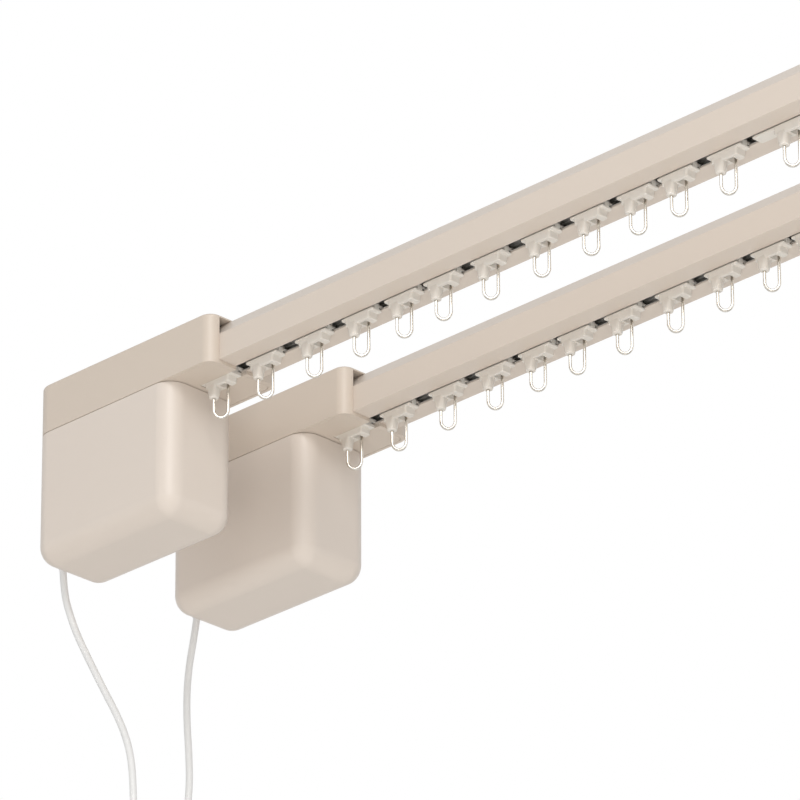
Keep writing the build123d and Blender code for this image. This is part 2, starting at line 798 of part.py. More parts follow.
tracks = {
    "front": Pos(gearbox_end_x, -track_pitch / 2, rail_z),
    "rear": Pos(gearbox_end_x + rear_track_shift, track_pitch / 2, rail_z),
}
leads = {"front": front_lead, "rear": rear_lead}
coil_sides = {"front": -1, "rear": 1}
one_runner = runner()
single_pieces = {
    "rail": [rail()],
    "gearbox_shell": [gearbox_shell()],
    "gearbox_base": [gearbox_base()],
    "motor_housing": [motor_housing()],
    "motor": [motor_unit()],
    "drive_coupling": [drive_coupling()],
    "drive_pulley": [drive_pulley()],
    "belt": [belt()],
    "idler_housing": [idler_housing()],
    "idler_pulley": [idler_pulley()],
    "end_hook": end_hook(),
    "control_board": [control_board()],
    "master_carrier": [Pos(master_place, 0, 0) * piece for piece in master_carrier()],
}
for track, place in tracks.items():
    for name, pieces in single_pieces.items():
        save(f"{name}_{track}", [place * piece for piece in pieces])
    for number, x in enumerate(runner_places, start=1):
        save(f"runner_{track}_{number:02d}", [place * Pos(x, 0, 0) * piece for piece in one_runner])
    lead = leads[track]
    tubes = [tube(lead, f"{track} lead"), tube(tail_points(lead), f"{track} tail")]
    save(f"cord_{track}", tubes)
    save(f"cord_coil_{track}", [cord_coil(lead, coil_sides[track])])

# Pieces that are alike on both tracks share a node
clips = []
for track, place in tracks.items():
    shift = place.position.X - gearbox_end_x
    clips.append(place * clip(gearbox_clip_x))
    clips.append(place * clip(far_bracket_x - gearbox_end_x))
save("rail_clips", clips)
shared = {
    "bearings": bearings(),
    "idler_pins": [idler_pin()],
    "strain_reliefs": [strain_relief()],
}
for name, pieces in shared.items():
    save(name, [place * piece for place in tracks.values() for piece in pieces])
save("plugs", [plug(lead) for lead in leads.values()])
peg_shift = (0.0, rear_track_shift)
save("ceiling_bar_motor_end", [ceiling_bar(0, peg_shift)])
save("ceiling_bar_far_end", [ceiling_bar(far_bracket_x, peg_shift)])
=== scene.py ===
from math import cos, pi, radians, sin, tau

import bmesh
import bpy
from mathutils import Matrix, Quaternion, Vector


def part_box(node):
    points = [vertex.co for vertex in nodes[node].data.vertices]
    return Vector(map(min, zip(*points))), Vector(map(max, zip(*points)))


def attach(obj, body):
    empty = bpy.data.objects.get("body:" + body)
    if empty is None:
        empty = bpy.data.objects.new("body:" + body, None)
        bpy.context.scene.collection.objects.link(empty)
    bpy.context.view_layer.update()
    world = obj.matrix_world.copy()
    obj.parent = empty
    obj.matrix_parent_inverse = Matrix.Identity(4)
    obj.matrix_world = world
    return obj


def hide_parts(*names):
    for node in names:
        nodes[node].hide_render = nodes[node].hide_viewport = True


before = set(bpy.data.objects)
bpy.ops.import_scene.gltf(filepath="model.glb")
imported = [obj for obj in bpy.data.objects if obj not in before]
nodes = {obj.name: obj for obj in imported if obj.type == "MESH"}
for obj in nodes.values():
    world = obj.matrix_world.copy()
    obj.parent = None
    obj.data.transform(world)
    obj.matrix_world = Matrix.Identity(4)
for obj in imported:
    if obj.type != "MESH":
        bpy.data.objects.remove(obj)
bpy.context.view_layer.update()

# Camera: it looks up at the motor ends from the right, from in front of and below the tracks,
# with a long lens, as the curtain rails are seen from across a room.
camera = bpy.data.objects.new("camera", bpy.data.cameras.new("camera"))
bpy.context.scene.collection.objects.link(camera)
bpy.context.scene.camera = camera
camera.data.sensor_width = 36.0
camera.data.lens = 325.8
camera.data.clip_end = 50.0
camera.location = (3.02907, -2.81528, -1.95503)
camera_aim = Vector((0.289386, -0.0822, -0.123461)) - camera.location
camera_roll = Quaternion((0, 0, 1), radians(-0.195))
camera.rotation_mode = "QUATERNION"
camera.rotation_quaternion = camera_aim.to_track_quat("-Z", "Y") @ camera_roll

# Power cords: a light grey two-core cord with a soft sheath leaves each motor box downwards.
# What isn't needed is wound by hand into a tied coil, whose turns step across row by row and
# then one layer inwards. A short tail leads on to the plug.
cord_thickness = 0.0045
coil_radius = 0.025
coil_pitch = 1.06 * cord_thickness
front_lead = [
    (-0.0390, -0.0518, -0.1196),
    (-0.0392, -0.0504, -0.1350),
    (-0.0359, -0.0484, -0.1495),
    (-0.0302, -0.0474, -0.1645),
    (-0.0218, -0.0472, -0.1800),
    (-0.0122, -0.0471, -0.1970),
    (-0.0024, -0.0472, -0.2136),
    (0.0072, -0.0471, -0.2296),
    (0.0162, -0.0473, -0.2470),
    (0.0226, -0.0480, -0.2660),
    (0.0272, -0.0505, -0.2900),
    (0.0304, -0.0528, -0.3120),
]
rear_lead = [
    (-0.0350, 0.0592, -0.1196),
    (-0.0353, 0.0570, -0.1350),
    (-0.0370, 0.0552, -0.1510),
    (-0.0384, 0.0544, -0.1690),
    (-0.0380, 0.0542, -0.1900),
    (-0.0362, 0.0545, -0.2120),
    (-0.0350, 0.0545, -0.2340),
    (-0.0360, 0.0530, -0.2560),
    (-0.0388, 0.0503, -0.2770),
]
coil_centres = {
    "front": Vector((0.0012, -0.0483, -0.3300)),
    "rear": Vector((-0.0096, 0.0548, -0.2950)),
}
coil_sides = {"front": 1, "rear": -1}
cord_leads = {"front": front_lead, "rear": rear_lead}
tail_route = [
    (0.0204, -0.0101, -0.0140),
    (0.0216, -0.0100, -0.0260),
    (0.0237, -0.0062, -0.0380),
    (0.0247, -0.0012, -0.0490),
    (0.0250, 0.0, -0.0580),
]


def eased(angle, start, end):
    """0 before start, 1 after end, and a smooth step between them."""
    share = min(max((angle - start) / (end - start), 0), 1)
    return share * share * (3 - 2 * share)


def coil_turns(centre, side):
    """Six turns: three rows outside, three in the middle and the last half turn inside.

    The cord crosses to the next row or layer between each pair of angles, in degrees."""
    turns, steps_in_turn = 6, 20
    points = []
    for step in range(turns * steps_in_turn + 1):
        angle = step * 360 / steps_in_turn
        row = -1 + eased(angle, 290, 340) + eased(angle, 650, 700)
        row -= eased(angle, 1270, 1320) + eased(angle, 1630, 1680)
        row -= 1.1 * eased(angle, 2090, 2150)
        layer = 1 - eased(angle, 960, 1010) - eased(angle, 1940, 1990)
        radius = coil_radius + layer * coil_pitch
        turn = radians(angle)
        spot = Vector((side * radius * cos(turn), row * coil_pitch, -radius * sin(turn)))
        points.append(centre + spot)
    return points


def nurbs_cord(name, points, thickness):
    """A cord on one smooth spline with the given control points."""
    data = bpy.data.curves.new(name, "CURVE")
    data.dimensions = "3D"
    data.bevel_depth = thickness / 2
    data.bevel_resolution = 4
    data.resolution_u = 6
    data.use_fill_caps = True
    spline = data.splines.new("NURBS")
    spline.points.add(len(points) - 1)
    for control, point in zip(spline.points, points):
        control.co = (*point, 1)
    spline.order_u = 3
    spline.use_endpoint_u = True
    cord = bpy.data.objects.new(name, data)
    bpy.context.scene.collection.objects.link(cord)
    return cord


def effect(name, inputs, outputs):
    """An empty shader node group with the named inputs and outputs, ready to be filled."""
    group = bpy.data.node_groups.new(name, "ShaderNodeTree")
    for label, kind, value in inputs:
        entry = group.interface.new_socket(label, in_out="INPUT", socket_type=kind)
        entry.default_value = value
    for label, kind in outputs:
        group.interface.new_socket(label, in_out="OUTPUT", socket_type=kind)
    source = group.nodes.new("NodeGroupInput")
    result = group.nodes.new("NodeGroupOutput")
    return group, source, result


def math_node(tree, operation):
    """A Math node that does this operation."""
    node = tree.nodes.new("ShaderNodeMath")
    node.operation = operation
    return node


def moulded_grain():
    """The fine texture that a mould or a sheath leaves: tiny bumps and uneven gloss."""
    group, source, result = effect(
        "moulded_grain",
        [("Grain Size", "NodeSocketFloat", 0.0006), ("Roughness", "NodeSocketFloat", 0.4),
         ("Roughness Spread", "NodeSocketFloat", 0.08)],
        [("Height", "NodeSocketFloat"), ("Roughness", "NodeSocketFloat")],
    )
    add, link = group.nodes.new, group.links.new
    place = add("ShaderNodeTexCoord")
    per_size = math_node(group, "DIVIDE")
    per_size.inputs[0].default_value = 1.0
    link(source.outputs["Grain Size"], per_size.inputs[1])
    fine = add("ShaderNodeTexNoise")
    fine.inputs["Detail"].default_value = 3.0
    link(place.outputs["Object"], fine.inputs["Vector"])
    link(per_size.outputs[0], fine.inputs["Scale"])
    link(fine.outputs["Fac"], result.inputs["Height"])
    broad = add("ShaderNodeTexNoise")
    broad.inputs["Scale"].default_value = 55.0
    broad.inputs["Detail"].default_value = 5.0
    link(place.outputs["Object"], broad.inputs["Vector"])
    centred = math_node(group, "SUBTRACT")
    centred.inputs[1].default_value = 0.5
    link(broad.outputs["Fac"], centred.inputs[0])
    spread = math_node(group, "MULTIPLY_ADD")
    link(centred.outputs[0], spread.inputs[0])
    link(source.outputs["Roughness Spread"], spread.inputs[1])
    link(source.outputs["Roughness"], spread.inputs[2])
    link(spread.outputs[0], result.inputs["Roughness"])
    return group


def handling_tone():
    """Slight unevenness of colour: broad soft patches, and a little dust on upward faces."""
    group, source, result = effect(
        "handling_tone",
        [("Colour", "NodeSocketColor", (0.5, 0.5, 0.5, 1)),
         ("Patch Colour", "NodeSocketColor", (0.4, 0.4, 0.4, 1)),
         ("Patch Amount", "NodeSocketFloat", 0.2), ("Dust Amount", "NodeSocketFloat", 0.1)],
        [("Colour", "NodeSocketColor")],
    )
    add, link = group.nodes.new, group.links.new
    place = add("ShaderNodeTexCoord")
    patches = add("ShaderNodeTexNoise")
    patches.inputs["Scale"].default_value = 16.0
    patches.inputs["Detail"].default_value = 4.0
    link(place.outputs["Object"], patches.inputs["Vector"])
    share = math_node(group, "MULTIPLY")
    link(patches.outputs["Fac"], share.inputs[0])
    link(source.outputs["Patch Amount"], share.inputs[1])
    toned = add("ShaderNodeMix")
    toned.data_type = "RGBA"
    link(share.outputs[0], toned.inputs["Factor"])
    link(source.outputs["Colour"], toned.inputs["A"])
    link(source.outputs["Patch Colour"], toned.inputs["B"])
    facing = add("ShaderNodeNewGeometry")
    upward = add("ShaderNodeSeparateXYZ")
    link(facing.outputs["Normal"], upward.inputs[0])
    speckle = add("ShaderNodeTexNoise")
    speckle.inputs["Scale"].default_value = 400.0
    link(place.outputs["Object"], speckle.inputs["Vector"])
    lying = math_node(group, "MULTIPLY")
    lying.use_clamp = True
    link(upward.outputs["Z"], lying.inputs[0])
    link(speckle.outputs["Fac"], lying.inputs[1])
    dust = math_node(group, "MULTIPLY")
    link(lying.outputs[0], dust.inputs[0])
    link(source.outputs["Dust Amount"], dust.inputs[1])
    dusted = add("ShaderNodeMix")
    dusted.data_type = "RGBA"
    dusted.inputs["B"].default_value = (0.62, 0.60, 0.57, 1)
    link(dust.outputs[0], dusted.inputs["Factor"])
    link(toned.outputs["Result"], dusted.inputs["A"])
    link(dusted.outputs["Result"], result.inputs["Colour"])
    return group


grain_effect = moulded_grain()
tone_effect = handling_tone()


def finish_material(
    name, colour, patch, *, roughness, grain, depth, patches=0.3, dust=0.2, spread=0.1, also=None
):
    """A material with grain, uneven gloss and uneven tone.

    Grain and depth are the width and height of its bumps, in metres. The values in also are
    the shader's own and the same all over the surface."""
    material = bpy.data.materials.new(name)
    material.use_nodes = True
    tree = material.node_tree
    shader = tree.nodes["Principled BSDF"]
    for label, value in (also or {}).items():
        shader.inputs[label].default_value = value
    texture = tree.nodes.new("ShaderNodeGroup")
    texture.node_tree = grain_effect
    texture.inputs["Grain Size"].default_value = grain
    texture.inputs["Roughness"].default_value = roughness
    texture.inputs["Roughness Spread"].default_value = spread
    tone = tree.nodes.new("ShaderNodeGroup")
    tone.node_tree = tone_effect
    tone.inputs["Colour"].default_value = (*colour, 1)
    tone.inputs["Patch Colour"].default_value = (*patch, 1)
    tone.inputs["Patch Amount"].default_value = patches
    tone.inputs["Dust Amount"].default_value = dust
    bump = tree.nodes.new("ShaderNodeBump")
    bump.inputs["Strength"].default_value = 1.0
    bump.inputs["Distance"].default_value = depth
    tree.links.new(texture.outputs["Height"], bump.inputs["Height"])
    tree.links.new(texture.outputs["Roughness"], shader.inputs["Roughness"])
    tree.links.new(tone.outputs["Colour"], shader.inputs["Base Color"])
    tree.links.new(bump.outputs["Normal"], shader.inputs["Normal"])
    return material


def make_piece(name, shape, material, smooth_angle=32):
    """A mesh object from a finished bmesh, with smooth faces and sharp edges kept."""
    bmesh.ops.recalc_face_normals(shape, faces=shape.faces)
    mesh = bpy.data.meshes.new(name)
    shape.to_mesh(mesh)
    shape.free()
    mesh.shade_smooth()
    mesh.set_sharp_from_angle(angle=radians(smooth_angle))
    mesh.materials.append(material)
    return place_piece(name, mesh)


def place_piece(name, mesh, spot=(0, 0, 0)):
    """An object with this mesh, its wide flat faces shaded flat beside narrow rounded edges."""
    piece = bpy.data.objects.new(name, mesh)
    bpy.context.scene.collection.objects.link(piece)
    piece.location = spot
    flattened = piece.modifiers.new("flat faces", "WEIGHTED_NORMAL")
    flattened.keep_sharp = True
    return piece


def loft(shape, rings, close_ends=True):
    """Faces between rings of equally many points, each ring closed, with a cap at both ends."""
    made = [[shape.verts.new(point) for point in ring] for ring in rings]
    count = len(rings[0])
    for lower, upper in zip(made, made[1:]):
        for index in range(count):
            after = (index + 1) % count
            shape.faces.new((lower[index], lower[after], upper[after], upper[index]))
    if close_ends:
        shape.faces.new(list(reversed(made[0])))
        shape.faces.new(made[-1])


def turned(shape, profile, centre, sides=32):
    """A round shape about an upright axis, from (radius, height) pairs."""
    rings = []
    for radius, height in profile:
        ring = []
        for index in range(sides):
            angle = tau * index / sides
            ring.append((centre[0] + radius * cos(angle), centre[1] + radius * sin(angle), height))
        rings.append(ring)
    loft(shape, rings)


def rounded_outline(length, depth, radius, steps=6):
    """Points round a rectangle with rounded corners, about its centre."""
    points = []
    for quarter, (side_x, side_y) in enumerate(((1, 1), (-1, 1), (-1, -1), (1, -1))):
        for step in range(steps + 1):
            angle = pi / 2 * (quarter + step / steps)
            points.append((
                side_x * (length / 2 - radius) + radius * cos(angle),
                side_y * (depth / 2 - radius) + radius * sin(angle),
            ))
    return points


sheath = finish_material(
    "cord_sheath", (0.74, 0.74, 0.735), (0.65, 0.65, 0.645), roughness=0.42, grain=0.0009,
    depth=0.00002, also={"Subsurface Weight": 0.08, "Subsurface Radius": (0.002, 0.002, 0.002)},
)
tails, coil_cords = {}, {}
for track, lead in cord_leads.items():
    centre, side = coil_centres[track], coil_sides[track]
    tail = [centre + Vector((side * x, y, z)) for x, y, z in tail_route]
    tails[track] = tail[-1]
    route = [*lead, *coil_turns(centre, side), *tail]
    cord = nurbs_cord(f"cord_{track}_flex", route, cord_thickness)
    cord.data.materials.append(sheath)
    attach(cord, "frame")
    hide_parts(f"cord_{track}", f"cord_coil_{track}")
    coil_cords[track] = cord

# Coil ties: a strap of soft white plastic is pulled round the top of each coil's bundle and
# holds its rows and layers together.
tie_width = 0.006
tie_thickness = 0.0009
tie_inner_corner = 0.0022
tie_outer_corner = 0.0030
tie_rows = 3
tie_play = 0.0006
tie_inside = tie_rows * coil_pitch + tie_play
tie_outside = tie_inside + 2 * tie_thickness
tie_material = finish_material(
    "tie_plastic", (0.74, 0.74, 0.73), (0.62, 0.62, 0.61), roughness=0.5, grain=0.0008,
    depth=0.00003,
)
for track, centre in coil_centres.items():
    shape = bmesh.new()
    inner = rounded_outline(tie_inside, tie_inside, tie_inner_corner)
    outer = rounded_outline(tie_outside, tie_outside, tie_outer_corner)
    top = centre + Vector((0, 0, coil_radius))
    sections = [(outer, -1), (outer, 1), (inner, 1), (inner, -1), (outer, -1)]
    rings = [[top + Vector((end * tie_width / 2, y, z)) for y, z in line] for line, end in sections]
    loft(shape, rings, close_ends=False)
    bmesh.ops.remove_doubles(shape, verts=shape.verts, dist=0.000001)
    tie = make_piece(f"coil_tie_{track}", shape, tie_material)
    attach(tie, "frame")

# Strain reliefs: a ribbed, tapering boot of soft plastic is moulded onto each cord and snaps
# into the motor box's downward outlet.
boot_top = -0.0956
boot_length = 0.024
boot_wide = 0.0043
boot_narrow = 0.0029
boot_end = boot_top - boot_length
neck_radius = 0.0031
neck_top = boot_top + 0.0049
rib_count = 7
first_rib = 0.002
groove_start, groove_end, next_rib = 0.0003, 0.0011, 0.0014
groove_depth = 0.0007
tip_height, tip_inset = 0.0006, 0.0004
core_radius = 0.0001
boot_spots = {"front": (-0.0390, -0.0518), "rear": (-0.0350, 0.0592)}
for track, spot in boot_spots.items():
    profile = [
        (core_radius, neck_top), (neck_radius, neck_top), (neck_radius, boot_top),
        (boot_wide, boot_top - 0.0001),
    ]
    for rib in range(rib_count):
        start = boot_top - first_rib - rib * boot_length / (rib_count + 1)
        radius = boot_wide + (boot_narrow - boot_wide) * (boot_top - start) / boot_length
        groove = radius - groove_depth
        profile += [
            (radius, start), (groove, start - groove_start), (groove, start - groove_end),
            (radius - 0.0001, start - next_rib),
        ]
    profile += [
        (boot_narrow, boot_end + tip_height), (boot_narrow - tip_inset, boot_end),
        (core_radius, boot_end),
    ]
    shape = bmesh.new()
    turned(shape, profile, spot, 24)
    boot = make_piece(f"strain_relief_{track}", shape, sheath, 40)
    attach(boot, "frame")
    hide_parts("strain_reliefs")

# Plugs: flat two-pin plugs, moulded in one piece with the cord's end, with two round plated
# pins that have sleeves of plastic over their upper half.
plug_length = 0.034
plug_nose = 0.010
pin_length = 0.019
pin_spacing = 0.0186
pin_radius = 0.002
pin_top = 0.0090
sleeve_radius = 0.0019
sleeve_length = 0.0095
plug_material = finish_material(
    "plug_plastic", (0.78, 0.78, 0.77), (0.68, 0.68, 0.67), roughness=0.38, grain=0.0007,
    depth=0.00003,
)
plating = finish_material(
    "nickel_plating", (0.80, 0.765, 0.705), (0.70, 0.66, 0.60), roughness=0.20, grain=0.002,
    depth=0.000004, dust=0.02, spread=0.06, also={"Metallic": 1.0},
)
for track, end in tails.items():
    shape = bmesh.new()
    bottom = -plug_nose - plug_length
    # Length, depth, corner radius and height from the cord's end, from the neck down.
    stages = [
        (0.0056, 0.0056, 0.0027, 0.0), (0.0080, 0.0072, 0.0034, -0.0030),
        (0.0130, 0.0100, 0.0046, -0.0078), (0.0240, 0.0124, 0.0058, -0.0108),
        (0.0332, 0.0134, 0.0060, -0.0136), (0.0350, 0.0137, 0.0062, -0.0175),
        (0.0350, 0.0137, 0.0062, bottom + 0.003), (0.0340, 0.0127, 0.0058, bottom + 0.0006),
        (0.0330, 0.0117, 0.0053, bottom),
    ]
    rings = []
    for length, depth, radius, z in stages:
        rings.append([end + Vector((x, y, z)) for x, y in rounded_outline(length, depth, radius)])
    loft(shape, rings)
    face = end.z - plug_nose - plug_length
    for side in (-1, 1):
        spot = (end.x + side * pin_spacing / 2, end.y)
        sleeve = [(core_radius, face + 0.001), (sleeve_radius, face + 0.001),
                  (sleeve_radius, face - sleeve_length), (core_radius, face - sleeve_length)]
        turned(shape, sleeve, spot, 20)
    plug = make_piece(f"plug_body_{track}", shape, plug_material)
    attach(plug, "frame")
    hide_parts("plugs")
    pins = bmesh.new()
    for side in (-1, 1):
        spot = (end.x + side * pin_spacing / 2, end.y)
        tip = face - pin_length
        pin = [(core_radius, face - pin_top), (pin_radius, face - pin_top),
               (pin_radius, tip + 0.0014), (pin_radius * 0.8, tip + 0.0004),
               (pin_radius * 0.45, tip), (core_radius, tip)]
        turned(pins, pin, spot, 20)
    pair = make_piece(f"plug_pins_{track}", pins, plating)
    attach(pair, "frame")

# Rails: aluminium extrusions with bevelled top edges, a T-shaped groove on top for the clips
# and a slot below for the runners. They are powder coated in a warm greige and bare inside, and
# the light colour of the bare metal is also painted light, which lifts the shade inside the slot.
track_spots = {"front": (0.125, -0.0555), "rear": (0.129, 0.0555)}
rail_underside = -0.0376
# Half of the section as (y, z) from the rail's middle and underside: outside, then inside.
rail_half_section = [
    (0.0044, 0.0), (0.0187, 0.0), (0.0187, 0.0173), (0.0095, 0.0286), (0.0038, 0.0286),
    (0.0038, 0.0272), (0.0062, 0.0272), (0.0062, 0.0242),
]
rail_half_inside = [
    (0.0077, 0.0227), (0.0077, 0.0271), (0.00879, 0.0271), (0.0172, 0.01677), (0.0172, 0.0120),
    (0.0150, 0.0120), (0.0150, 0.0108), (0.0172, 0.0108), (0.0172, 0.0015), (0.0044, 0.0015),
]
# Faces within this half width, which shrinks above the bevel's foot, are bare, and their light
# colour is painted light against the shade inside the rail.
painted_light_bare_half = 0.0178
painted_light_bare_low, painted_light_bare_high = 0.0010, 0.0235
bevel_foot = 0.0173
bevel_run = 0.814
corner_ease = 0.00035
greige_coat = finish_material(
    "greige_powder_coat", (0.615, 0.540, 0.470), (0.575, 0.498, 0.430), roughness=0.40,
    grain=0.0004, depth=0.00003,
)
# The bare metal inside is given a light colour as painted light, to lift the shade in the slot.
bare_aluminium_painted_light = finish_material(
    "bare_aluminium_painted_light", (0.86, 0.84, 0.80), (0.80, 0.78, 0.74), roughness=0.55, grain=0.0004,
    depth=0.00002, also={"Metallic": 0.1},
)


def mirrored(half):
    """The other half of a section, in reverse order."""
    return [(-y, z) for y, z in reversed(half)]


def eased_corners(points, radius):
    """A closed outline with each corner replaced by a short curve."""
    line = [Vector(point) for point in points]
    eased_line = []
    for before, corner, after in zip([line[-1], *line], line, [*line[1:], line[0]]):
        start = corner + radius * (before - corner).normalized()
        end = corner + radius * (after - corner).normalized()
        eased_line += [start, (start + 2 * corner + end) / 4, end]
    return eased_line


def on_body(piece, body, slot_name, *stood_for):
    """Lets a piece move with a body and stand for CAD nodes; its slot name is not used."""
    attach(piece, body)
    if stood_for:
        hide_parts(*stood_for)
    return piece


rail_outline = eased_corners(
    rail_half_section + mirrored(rail_half_section) + mirrored(rail_half_inside) + rail_half_inside,
    corner_ease,
)
for track, (start_x, middle_y) in track_spots.items():
    low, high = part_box(f"rail_{track}")
    section = [(middle_y + y, rail_underside + z) for y, z in rail_outline]
    shape = bmesh.new()
    loft(shape, [[(x, y, z) for y, z in section] for x in (low.x, high.x)])
    rail = make_piece(f"rail_{track}_extrusion", shape, greige_coat, 50)
    # The inner faces take the light bare metal: painted light inside the shaded slot.
    rail.data.materials.append(bare_aluminium_painted_light)
    for face in rail.data.polygons:
        height = face.center.z - rail_underside
        inside = painted_light_bare_half - bevel_run * max(0.0, height - bevel_foot)
        if abs(face.center.y - middle_y) < inside and painted_light_bare_low < height < painted_light_bare_high:
            face.material_index = 1
    on_body(rail, "frame", "rail_paint", f"rail_{track}")

# Gearbox housings: injection moulded lids in the same greige, with a square mouth for the rail
# and a flat cover let into the underside. All outer edges have the mould's small rounding.
greige_plastic = finish_material(
    "greige_moulding", (0.575, 0.498, 0.423), (0.535, 0.458, 0.385), roughness=0.42, grain=0.0011,
    depth=0.00005, also={"Coat Weight": 0.12, "Coat Roughness": 0.35},
)
gearbox_length = 0.1597
gearbox_front = -0.0267
gearbox_rear = 0.0310
gearbox_skirt = -0.0025
gearbox_top = 0.0303
gearbox_wall = 0.0022
gearbox_end_wall = 0.003
gearbox_corners = (0.0130, 0.0078)
edge_round = 0.0014
hollow_corners = (0.0108, 0.0055)
hollow_top = 0.0220
belt_room_start = -0.1055
belt_room_bottom, belt_room_top = 0.0210, 0.0288
belt_room_corner = 0.0003
slot_start = -0.032
slot_half = 0.0044
slot_top = 0.0005
mouth_start = -0.005
mouth_half = 0.01878
mouth_bottom, mouth_top = -0.0001, 0.0287
clip_seat = -0.125
clip_half = 0.017
# Room for the rail clip, as half width, bottom and top: its seat, groove and throat.
clip_cuts = ((0.0091, 0.0286, 0.0320), (0.0062, 0.0242, 0.0272), (0.0038, 0.0270, 0.0290))
cover_gap = 0.0002
cover_edge = 0.00025
cover_corners = (0.0106, 0.0053)
cover_top = -0.0003
hub_x = -0.098
hub_radius = 0.0055
cut_below = -0.004
cut_past = 0.002


def plan_outline(low, high, left_radius, right_radius, steps=8):
    """Points round a rectangle in plan whose left and right corners have their own radii."""
    points = []
    corners = ((high[0], high[1], right_radius), (low[0], high[1], left_radius),
               (low[0], low[1], left_radius), (high[0], low[1], right_radius))
    for quarter, (x, y, radius) in enumerate(corners):
        inward_x = x - radius if x == high[0] else x + radius
        inward_y = y - radius if y == high[1] else y + radius
        for step in range(steps + 1):
            angle = pi / 2 * (quarter + step / steps)
            points.append((inward_x + radius * cos(angle), inward_y + radius * sin(angle)))
    return points


def plan_block(low, high, left_radius, right_radius, stages, place=Vector((0, 0, 0))):
    """A block on a rounded plan, from (inset, height) stages, shifted to a place."""
    least = 0.0002
    rings = []
    for inset, z in stages:
        outline = plan_outline(
            (low[0] + inset, low[1] + inset), (high[0] - inset, high[1] - inset),
            max(left_radius - inset, least), max(right_radius - inset, least),
        )
        rings.append([place + Vector((x, y, z)) for x, y in outline])
    shape = bmesh.new()
    loft(shape, rings)
    return shape


def plain_box(low, high, place=Vector((0, 0, 0))):
    """A box with sharp edges between two corners, shifted to a place."""
    shape = bmesh.new()
    corners = [(low[0], low[1]), (high[0], low[1]), (high[0], high[1]), (low[0], high[1])]
    loft(shape, [[place + Vector((x, y, z)) for x, y in corners] for z in (low[2], high[2])])
    return shape


def upright_bar(radius, bottom, top, spot):
    """A round bar along Z, as a cutter for bores."""
    core = 0.00001
    shape = bmesh.new()
    turned(shape, [(core, bottom), (radius, bottom), (radius, top), (core, top)], spot, 40)
    return shape


def carved(shape, *cutters):
    """The shape with the cutters taken out of it, one after another."""
    holders = []
    for part in (shape, *cutters):
        bmesh.ops.recalc_face_normals(part, faces=part.faces)
        mesh = bpy.data.meshes.new("holder")
        part.to_mesh(mesh)
        part.free()
        holder = bpy.data.objects.new("holder", mesh)
        bpy.context.scene.collection.objects.link(holder)
        holders.append(holder)
    for cutter in holders[1:]:
        cut = holders[0].modifiers.new("cut", "BOOLEAN")
        cut.operation = "DIFFERENCE"
        cut.solver = "EXACT"
        cut.object = cutter
    result = bmesh.new()
    result.from_object(holders[0], bpy.context.evaluated_depsgraph_get())
    for holder in holders:
        mesh = holder.data
        bpy.data.objects.remove(holder)
        bpy.data.meshes.remove(mesh)
    return result


def lid_stages(bottom, top, radius):
    """Insets and heights from a softly broken lower edge to a rounded upper one."""
    lower_edge, steps = 0.00015, 5
    stages = [(lower_edge, bottom), (0.0, bottom + lower_edge)]
    for step in range(steps + 1):
        angle = pi / 2 * step / steps
        stages.append((radius * (1 - cos(angle)), top - radius * (1 - sin(angle))))
    return stages


for track, (start_x, middle_y) in track_spots.items():
    place = Vector((start_x, middle_y, rail_underside))
    lid = plan_block(
        (-gearbox_length, gearbox_front), (0, gearbox_rear), *gearbox_corners,
        lid_stages(gearbox_skirt, gearbox_top, edge_round), place,
    )
    inner_low = (gearbox_wall - gearbox_length, gearbox_front + gearbox_wall)
    inner_high = (-gearbox_end_wall, gearbox_rear - gearbox_wall)
    hollow_stages = [(0, cut_below), (0, hollow_top)]
    belt_room_stages = [(0, belt_room_bottom), (0, belt_room_top)]
    cutters = [
        plan_block(inner_low, inner_high, *hollow_corners, hollow_stages, place),
        plan_block(
            (belt_room_start, inner_low[1]), inner_high, belt_room_corner, hollow_corners[1],
            belt_room_stages, place,
        ),
        plain_box(
            (mouth_start, -mouth_half, mouth_bottom), (cut_past, mouth_half, mouth_top), place
        ),
        plain_box((slot_start, -slot_half, cut_below), (cut_past, slot_half, slot_top), place),
    ]
    for half, bottom, top in clip_cuts:
        cutters.append(plain_box(
            (clip_seat - clip_half, -half, bottom), (clip_seat + clip_half, half, top), place
        ))
    lid = make_piece(f"gearbox_{track}_lid", carved(lid, *cutters), greige_plastic)
    on_body(lid, "frame", "gearbox_plastic", f"gearbox_shell_{track}")
    cover = plan_block(
        (inner_low[0] + cover_gap, inner_low[1] + cover_gap),
        (inner_high[0] - cover_gap, inner_high[1] - cover_gap), *cover_corners,
        [(cover_edge, gearbox_skirt), (0.0, gearbox_skirt + cover_edge), (0.0, cover_top)], place,
    )
    slot = plain_box((slot_start, -slot_half, cut_below), (cut_past, slot_half, cut_past), place)
    hub_hole = upright_bar(
        hub_radius, place.z + cut_below, place.z + cut_past, (place.x + hub_x, place.y)
    )
    cover = make_piece(f"gearbox_{track}_cover", carved(cover, slot, hub_hole), greige_plastic)
    on_body(cover, "frame", "gearbox_plastic", f"gearbox_base_{track}")

